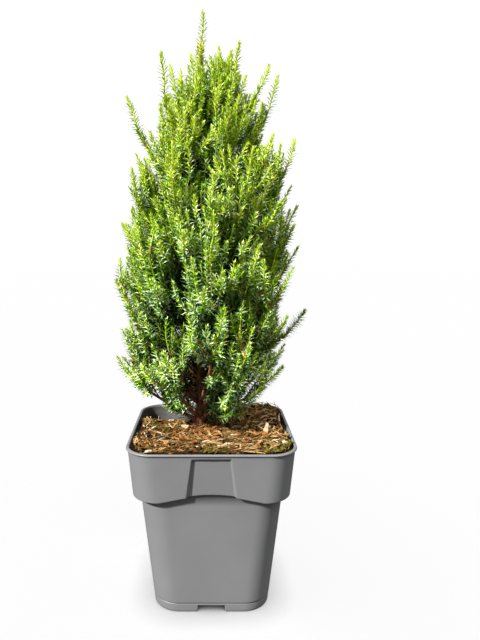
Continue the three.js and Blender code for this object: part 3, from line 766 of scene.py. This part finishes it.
def crown_radius(height):
    """Radius of the crown's outside at a height, straight between the profile's points."""
    return np.interp(height, crown_heights, crown_radii)


def ground_at(x, y):
    """Nothing comes lower than the mulch over the pot, or than the rim beyond the pot's walls."""
    inside = np.maximum(np.abs(x), np.abs(y)) < body_top_half
    return np.where(inside, mulch_height(x, y) + 1.5, pot_height)


def mass_core(share, length):
    """Radius of a mass's core: it swells from the bare stem and narrows to the tip."""
    full = core_radius * np.minimum(1, length / slim_length)
    wide = full + (tip_radius - full) * smoothstep(share, 0.6, 0.92)
    return bare_radius + (wide - bare_radius) * smoothstep(share, 0.5 * bare_share, 0.5)


def mass_reach(share):
    """How far the sprays of a mass stand out of its core."""
    wide = spray_reach + (tip_reach - spray_reach) * smoothstep(share, 0.6, 0.95)
    return np.where(share < bare_share, 0.0, wide * smoothstep(share, 0, 0.4))


def is_free(owner, at, radius):
    """Whether balls clear the ground and every ball that another branch holds, with a gap."""
    if (at[:, 2] - radius < ground_at(at[:, 0], at[:, 1]) + clearance).any():
        return False
    others = [balls for holder, *balls in held if holder != owner]
    places, radii = (np.concatenate(each) for each in zip(*others))
    apart = np.linalg.norm(at[:, None] - places, axis=-1)
    return (apart > radius[:, None] + radii + shoot_gap).all()


def balls_of(curve, radius_at):
    """Balls about 3 mm apart along a curve: their middles, and the radii that radius_at gives there."""
    count = math.ceil(length_of(curve) / held_step)
    shares = np.arange(count + 1) / count
    return on_curve(curve, shares), radius_at(shares)


def mass_balls(stem):
    """Balls along a mass's stem: its core and its sprays."""
    length = length_of(stem)
    return balls_of(stem, lambda share: mass_core(share, length) + mass_reach(share))


trunk_steps = np.arange(ground, trunk_top[2], held_step)
held = [(trunk_owner, trunk_at(trunk_steps), trunk_radius(trunk_steps))]
branches = []


def keep_branch(name, owner, balls, stem, bough=None):
    """Notes a branch that has found room: its balls, its stem, its bare bough if any, and its sides."""
    held.append((owner, *balls))
    branches.append({"name": name, "owner": owner, "stem": stem, "bough": bough, "sides": []})


for tier_number, (tier, count, tier_turn, low, high, tier_reach, bare) in enumerate(tiers):
    for i in range(count):
        mass = len(branches) + 1
        owner = 100 * (tier_number + 1) + i
        reach = tier_reach * (1 + reach_jitter * (chance(mass, 3) - 0.5))
        start_height = low + from_jitter * (chance(mass, 2) - 0.5) * (0.4 if bare else 1)
        tip_height = high + to_jitter * (chance(mass, 4) - 0.5)
        for attempt in range(turn_tries):
            nudge = (1 if attempt % 2 else -1) * math.ceil(attempt / 2) * turn_nudge
            turn = math.radians(tier_turn + 360 * i / count + turn_jitter * (chance(mass, 1) - 0.5) + nudge)
            tip = np.array((crown_middle(high) + reach * math.cos(turn), reach * math.sin(turn), tip_height))
            middle = trunk_at(start_height)
            out = (tip - middle) * (1, 1, 0)
            rise = math.atan2(up_bend * (tip[2] - start_height), out_bend * np.linalg.norm(out))
            back_off = (bough_radius if bare else bare_radius) * math.sin(rise)
            past_bark = trunk_radius(start_height) + clearance + back_off
            whole = branch_curve(middle + unit(out) * past_bark, tip)
            fork = bare / length_of(whole)
            bough = part_of(whole, 0, fork) if bare else None
            stem = part_of(whole, fork + clearance / length_of(whole), 1) if bare else whole
            at, radius = mass_balls(stem)
            if bare:
                bough_at, bough_ball = balls_of(bough, lambda share: np.full_like(share, bough_radius))
                at, radius = np.concatenate([bough_at, at]), np.concatenate([bough_ball, radius])
            if is_free(owner, at[3:], radius[3:]):
                keep_branch(f"{tier}_{i + 1}", owner, (at, radius), stem, bough)
                break
leader_start = trunk_at(trunk_top[2]) + (0, 0, clearance)
leader = np.array([leader_start, 0.5 * (leader_start + leader_tip), leader_tip])
keep_branch("leader", leader_owner, mass_balls(leader), leader)

for number in range(side_tries):
    for mass, branch in enumerate(branches, 1):
        if len(branch["sides"]) >= side_shoots:
            continue
        share = side_first + side_span * ((number * golden_share + chance(mass, 20 + number)) % 1)
        point = on_curve(branch["stem"], [share])[0]
        ahead = heading(branch["stem"], [share])[0]
        across, along = square_to(ahead)
        angle = golden_turn * number + math.tau * chance(mass, 30)
        out = across * math.cos(angle) + along * math.sin(angle)
        length = side_length * (0.8 + 0.4 * chance(mass, 40 + number)) * (1.2 - 0.45 * share)
        bend = point + 0.35 * length * ahead + 0.5 * side_lean * length * out
        tip = bend + 0.4 * length * ahead + 0.2 * length * out + (0, 0, side_lift * length)
        if math.hypot(tip[0] - crown_middle(tip[2]), tip[1]) > crown_radius(tip[2]):
            continue
        sunk = mass_core(share, length_of(branch["stem"])) / length
        side = np.array([point, bend, tip])
        at, radius = balls_of(side, lambda share: shoot_radius + np.where(share < sunk, 0, needle_reach))
        if is_free(branch["owner"], at, radius):
            held.append((branch["owner"], at, radius))
            branch["sides"].append(side)

# The boughs are the bare first parts of the lowest branches, in the trunk's stringy bark. Each starts
# inside the trunk's bark and ends past its fork, where its foliage begins and its stem goes on.
bough_sunk = 1.6
bough_relief = 0.05
bough_stations, bough_sides = 26, 14
bare_branches = [branch for branch in branches if branch["bough"] is not None]
bough_names = [f"bough_{branch['name']}" for branch in bare_branches]
boughs = np.array([branch["bough"] for branch in bare_branches])


def tubes(curves, stations, sides, first_radius, last_radius, relief=0.0):
    """Closed round tubes along curves: rings of the radius at each share in the two directions square
    to the curve, which are carried along it without a twist. The bark's relief may swell the rings."""
    shares = np.linspace(0, 1, stations)
    points, ahead = on_curve(curves, shares), heading(curves, shares)
    across = np.empty_like(points)
    across[:, 0] = square_to(ahead[:, 0])[0]
    for k in range(1, stations):
        before = across[:, k - 1]
        across[:, k] = unit(before - ahead[:, k] * (before * ahead[:, k]).sum(axis=-1, keepdims=True))
    angle = np.linspace(0, math.tau, sides, endpoint=False)
    radius = first_radius + (last_radius - first_radius) * shares
    radius = radius[:, None] * np.ones((len(curves), 1, sides))
    if relief:
        turn, level = np.meshgrid(angle, shares * 60.0)
        swell = np.stack([bark_relief(level, turn, 40 + i) for i in range(len(curves))])
        radius = radius * (1 + relief * swell)
    along = np.cross(ahead, across)
    ring = across[:, :, None] * np.cos(angle)[:, None] + along[:, :, None] * np.sin(angle)[:, None]
    ring = (points[:, :, None] + radius[..., None] * ring).reshape(len(curves), -1, 3)
    first = points[:, :1] - ahead[:, :1] * radius[:, :1, :1] * 0.3
    last = points[:, -1:] + ahead[:, -1:] * radius[:, -1:, :1] * 0.5
    return np.concatenate([ring, first, last], axis=1)


grown_boughs = boughs.copy()
grown_boughs[:, 0] -= bough_sunk * heading(boughs, [0])[:, 0]
bough_points = tubes(grown_boughs, bough_stations, bough_sides, bough_radius, bough_tip_radius, bough_relief)
bough_faces = tube_faces(len(boughs), bough_stations, bough_sides)
bough_piece = mesh_piece("boughs_bark", wander(bough_points.reshape(-1, 3)), *bough_faces, [trunk_bark])
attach(bough_piece, "root")
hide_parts(*bough_names)

# The twigs: the stems go on from the boughs and the trunk, brown at first and green at their ends. They
# carry the branches' side shoots, and finer twigs grow all along both, on the sides where there is room.
loose_shoots = (
    # height of the start on the trunk, tip
    (322.0, (-29.0, 6.0, 386.0)),
    (328.0, (4.0, -14.0, 385.0)),
    (332.0, (14.5, 6.0, 395.0)),
    (314.0, (39.0, -6.0, 383.0)),
    (318.0, (-22.0, 24.0, 383.0)),
    (320.0, (22.0, 26.0, 384.0)),
    (198.0, (57.0, -18.0, 274.0)),
    (186.0, (61.0, -4.0, 258.0)),
    (188.0, (44.0, -26.0, 276.0)),
    (182.0, (48.0, 20.0, 270.0)),
)
between_shoots = 14
between_first = 150.0
between_step = 9.0
between_rise = 92.0
between_reach = 0.94
shown_trunk_half = 7.0
shown_trunk_top = 194.0
twig_ahead = 0.42
twig_out = 0.14
twig_lift = np.array((0.0, 0.0, 0.2))


def between_shoot(number):
    """A long shoot that fills the crown between the masses: turned by the golden angle from the last and
    started a step higher, it ends just inside the crown's outside."""
    height = between_first + between_step * number
    tip_height = height + between_rise
    turn = 0.5 + golden_turn * number
    reach = between_reach * crown_radius(tip_height)
    tip = (crown_middle(tip_height) + reach * math.cos(turn), reach * math.sin(turn), tip_height)
    return branch_curve(trunk_at(height), tip)


stems = np.array([branch["stem"] for branch in branches])
shoots = [side for branch in branches for side in branch["sides"]]
shoots += [branch_curve(trunk_at(height), tip) for height, tip in loose_shoots]
shoots = np.array(shoots + [between_shoot(number) for number in range(between_shoots)])
foliage_nodes = [f"foliage_{branch['name']}" for branch in branches]


def leaving(curves, share, angle):
    """Where a shoot leaves each curve: its point at the share, the direction ahead there, and the one
    outwards at the angle round it."""
    point, ahead = on_curve(curves, share[:, None])[:, 0], heading(curves, share[:, None])[:, 0]
    across, along = square_to(ahead)
    return point, ahead, across * np.cos(angle)[:, None] + along * np.sin(angle)[:, None]


def finer_twigs(parents, first, bare_end, spacing, longest, lean, seed):
    """Twigs along parent curves, spacing apart from a first share to bare_end mm before the tip, each
    turned by the golden angle from the last. One leaves at a lean, and turns to run beside its parent
    and upwards. It is shorter towards the parent's tip, and where it would leave the crown."""
    lengths = length_of(parents)
    count = np.maximum(1, ((lengths * (1 - first) - bare_end) / spacing).astype(int))
    parent = np.repeat(np.arange(len(parents)), count)
    number = np.concatenate([np.arange(n) for n in count])
    last = np.maximum(1 - bare_end / lengths[parent], first + 0.05)
    step = (number + chance(parent + seed, number + 7)) / count[parent]
    angle = golden_turn * number + math.tau * chance(parent, seed + 1)
    length = longest * (0.66 + 0.52 * chance(parent + 3, number + seed)) * (1 - 0.42 * step**1.5)
    return grown_twigs(*leaving(parents[parent], first + (last - first) * step, angle), length, lean)


def crown_foot(place):
    """Height of the crown's foot: level with the mulch at the trunk and to its right, slanting up beyond
    7 mm to its left, 48 mm to its right, and 8 mm to its front and back."""
    aside, back = place[:, 0] - trunk_x, np.abs(place[:, 1] - trunk_y)
    across = 0.68 * np.maximum(-aside - 7.0, 0.0) + 0.8 * np.maximum(aside - 48.0, 0.0)
    return ground + across + 0.46 * np.maximum(back - 8.0, 0.0)


def grown_twigs(point, ahead, out, length, lean):
    """Curves that leave their points at a lean outwards from the direction ahead and turn upwards. Each
    is shortened until its tip is inside the crown, and left out if it would run into the ground, hang
    below the crown's slanting foot, or hide the foot of the trunk from the front."""
    ragged = 5.0 + 14.0 * chance(point[:, 0], point[:, 2])
    length = length[:, None]
    for _ in range(3):
        bend = point + length * (twig_ahead * ahead + lean * twig_ahead * out)
        tip = bend + length * (twig_ahead * ahead + lean * twig_out * out + twig_lift)
        outside = np.hypot(tip[:, 0] - crown_middle(tip[:, 2]), tip[:, 1]) - crown_radius(tip[:, 2]) + ragged
        length = length * np.clip(1 - outside / (0.6 * length[:, 0]), 0.4, 1)[:, None]
    clear = tip[:, 2] > ground_at(tip[:, 0], tip[:, 1]) + 1.0
    clear &= point[:, 2] > ground_at(point[:, 0], point[:, 1]) - 0.5
    for place in (0.5 * (point + bend), bend, tip):
        before_trunk = (np.abs(place[:, 0] - trunk_x + 1.0) < shown_trunk_half) & (place[:, 1] < trunk_y)
        clear &= ~(before_trunk & (place[:, 2] < shown_trunk_top))
        clear &= place[:, 2] > crown_foot(place)
    return np.stack([point, bend, tip], axis=1)[clear]


def basal_twigs(count, seed):
    """Short shoots low on the trunk, most of them towards the right and the front, where they hide the
    ground: evenly spaced in height, turned by chance, and lying flatter the lower they stand."""
    number = np.arange(count)
    height = ground + 2.5 + 34.0 * (number + 0.5) / count
    turn = np.radians(np.where(number % 4 == 0, 165.0, 0.0) - 8.0 + 92.0 * (chance(number, seed) - 0.5))
    out = np.stack([np.cos(turn), np.sin(turn), 0.08 + 0.012 * (height - ground)], axis=1)
    ahead = np.array((0.0, 0.0, 0.55)) + 0.35 * out
    length = 26.0 + 24.0 * chance(number, seed + 2)
    return grown_twigs(trunk_at(height), ahead, unit(out), length, 1.15)


trunk_line = trunk_at((150.0, 255.0, 366.0))[None]
trunk_end = trunk_at((300.0, 337.0, 372.0))[None]
twig_sets = (
    # parents, first share, bare end, spacing, longest, lean, seed
    (stems, bare_share, 24.0, 3.4, 64.0, 0.42, 50),
    (stems, 0.1, 45.0, 9.0, 38.0, 1.1, 58),
    (boughs, 0.15, 0.0, 2.2, 28.0, 0.8, 55),
    (shoots, 0.15, 15.0, 4.2, 31.0, 0.6, 60),
    (trunk_line, 0.0, 5.0, 1.2, 50.0, 1.2, 70),
    (trunk_end, 0.2, 0.0, 2.6, 28.0, 0.34, 72),
)
fine_twigs = np.concatenate([*(finer_twigs(*each) for each in twig_sets), basal_twigs(44, 75)])
short_twigs = finer_twigs(fine_twigs, 0.12, 24.0, 11.0, 15.0, 0.6, 80)
twig_colors = (
    ("twig_red_brown", (0.190, 0.085, 0.034)),
    ("twig_orange_tan", (0.400, 0.240, 0.048)),
    ("twig_yellow_green", (0.360, 0.420, 0.030)),
)
twig_brown, *young_wood = (plain_material(name, color, 0.7, 0.1)[0] for name, color in twig_colors)


def twig_piece(name, curves, stations, sides, first_radius, last_radius, materials, changes):
    """Tubes along curves as one piece. Its faces take the materials in turn along the curve, and change
    from one to the next at the given shares."""
    points = tubes(curves, stations, sides, first_radius, last_radius)
    zone = np.searchsorted(changes, (np.arange(stations - 1) + 0.5) / (stations - 1))
    slots = [np.tile(np.repeat(part, sides), len(curves)) for part in (zone, [0, len(materials) - 1])]
    faces = tube_faces(len(curves), stations, sides)
    piece = mesh_piece(name, wander(points.reshape(-1, 3)), *faces, materials, True, np.concatenate(slots))
    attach(piece, "root")
    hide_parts(*foliage_nodes)


twig_piece("twigs_main", stems, 40, 7, 1.3, 0.4, [twig_brown, *young_wood], (0.42, 0.7))
twig_piece("twigs_side", shoots, 14, 6, 0.95, 0.45, young_wood, (0.55,))
twig_piece("twigs_fine", fine_twigs, 7, 4, 0.55, 0.35, young_wood, (0.3,))
twig_piece("twigs_short", short_twigs, 4, 3, 0.36, 0.24, young_wood, (0.3,))

# The needles stand in threes round every twig: short flat awls with a keel, which spread from the older
# twigs and lie forward at the soft yellow-green tips. Their inner face is paler, with a bloom of wax that
# is also painted brighter as a highlight.
needle_length = 5.3
needle_width = 1.0
needle_fold = 0.32
fold_share = 0.34
spread_at_tip = 22.0
spread_added = 40.0


def needle_places(curves, first, base_radius, spacing, first_number):
    """For every needle: where it stands, the direction ahead and outwards there, how far it is from its
    twig's tip in mm, and its twig's number. Whorls of three stand the spacing apart, and closer towards
    the tip, each turned by a sixth of a turn."""
    lengths = length_of(curves)
    count = np.maximum(2, (lengths * (1 - first) / spacing).astype(int))
    twig = np.repeat(np.arange(len(curves)), 3 * count)
    place = np.concatenate([np.arange(3 * n) for n in count])
    whorl = place // 3
    even = (whorl + 0.35 + 0.3 * chance(twig, whorl + 80)) / count[twig]
    share = first + (1 - first) * (1 - (1 - np.minimum(even, 0.995)) ** 1.2)
    uneven = 0.07 * (chance(twig + 1, place + 5) - 0.5)
    angle = math.tau * (place / 3 + (whorl % 2) / 6 + chance(twig, 90) + uneven)
    point, ahead, out = leaving(curves[twig], share, angle)
    return point + out * base_radius, ahead, out, (1 - share) * lengths[twig], twig + first_number


def needle_points(base, ahead, out, from_tip, draw):
    """Four corners of each needle: its base, its left and right a third of the way along, folded up from
    the keel between base and tip, and its tip. It leaves at the spread angle from the direction ahead,
    which falls towards the twig's tip."""
    spread = spread_at_tip + spread_added * smoothstep(from_tip, 0.0, 10.0) + draw.normal(0, 8, len(base))
    spread = np.radians(spread)[:, None]
    length = needle_length * (0.6 + 0.4 * smoothstep(from_tip, 0.0, 9.0)) * draw.uniform(0.8, 1.15, len(base))
    along = length[:, None] * (np.cos(spread) * ahead + np.sin(spread) * out)
    upper = np.sin(spread) * ahead - np.cos(spread) * out
    half = 0.5 * needle_width * np.cross(ahead, out)
    middle = base + fold_share * along + needle_fold * upper
    return np.stack([base, middle + half, middle - half, base + along], axis=1)


# Faces of one needle, seen from outside: the two of the waxy inner side first, then those of the keel.
needle_faces = np.array([[0, 2, 1], [3, 1, 2], [0, 1, 3], [0, 3, 2]])
needle_sets = (
    # twigs, first share, radius of the twig, spacing of the whorls, number of the first twig
    (stems, 0.3, 0.45, 1.05, 0),
    (shoots, 0.12, 0.35, 1.2, 5000),
    (fine_twigs, 0.1, 0.25, 1.42, 10000),
    (short_twigs, 0.1, 0.2, 1.55, 15000),
    (trunk_end, 0.0, 1.0, 1.0, 20000),
)
columns = [np.concatenate(column) for column in zip(*(needle_places(*each) for each in needle_sets))]
kept = columns[0][:, 2] > crown_foot(columns[0]) - 3.0
bases, aheads, outs, from_tips, twig_numbers = (column[kept] for column in columns)
draw = np.random.default_rng(7)
corners = needle_points(bases, aheads, outs, from_tips, draw)

# A needle is the younger, the nearer it is to its twig's tip and to the crown's top, and a little younger
# again near the crown's foot. It is also made brighter the nearer it is to the crown's outside: painted
# shade that darkens the crown's inside. Each twig has its own age, and each needle too.
height = bases[:, 2]
depth = crown_radius(height) - np.hypot(bases[:, 0] - crown_middle(height), bases[:, 1])
youth_and_light = 0.42 * (1 - smoothstep(depth, 0.0, 44.0)) + 0.40 * (1 - smoothstep(from_tips, 1.0, 26.0))
youth_and_light = youth_and_light + 0.42 * smoothstep(height, 150.0, 380.0) + 0.17 * (1 - smoothstep(height, 140.0, 230.0))
youth_and_light = youth_and_light + 0.26 * (chance(twig_numbers, 33) - 0.5) + draw.normal(0, 0.12, len(bases))
# The inner groups are the darkest: partly older foliage, partly painted shade of the crown's inside.
ages_and_shades = (
    # name, share of the needles, plain colour, colour of a waxy inner face that is also a painted highlight
    ("needles_innermost", 0.17, (0.003, 0.012, 0.001), (0.030, 0.062, 0.026)),
    ("needles_inner", 0.17, (0.010, 0.047, 0.002), (0.115, 0.215, 0.090)),
    ("needles_old", 0.17, (0.036, 0.125, 0.003), (0.280, 0.420, 0.220)),
    ("needles_grown", 0.18, (0.096, 0.248, 0.005), (0.400, 0.550, 0.270)),
    ("needles_young", 0.17, (0.205, 0.385, 0.009), (0.495, 0.640, 0.260)),
    ("needles_tip", 0.14, (0.400, 0.530, 0.030), (0.630, 0.720, 0.300)),
)
# A share of the needles show the waxy inner face, also a painted highlight; fewer of them higher up.
wax_and_highlight_share = 0.54 - 0.07 * smoothstep(height, 170.0, 340.0)
levels = np.quantile(youth_and_light, np.cumsum([share for _, share, _, _ in ages_and_shades])[:-1])
age_and_shade = np.searchsorted(levels, youth_and_light)
for number, (name, _, outer_color, inner_color) in enumerate(ages_and_shades):
    chosen = corners[age_and_shade == number]
    faces = needle_faces + 4 * np.arange(len(chosen))[:, None, None]
    slots = np.zeros((len(chosen), 4), dtype=int)
    slots[:, :2] = (draw.random(len(chosen)) < wax_and_highlight_share[age_and_shade == number])[:, None]
    skins = [plain_material(name, outer_color, 0.45, 0.05)[0]]
    skins.append(plain_material(f"{name}_bloom", inner_color, 0.6, 0.05)[0])
    needles = mesh_piece(name, wander(chosen.reshape(-1, 3)), [], faces, skins, False, slots.ravel())
    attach(needles, "root")
    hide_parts(*foliage_nodes)
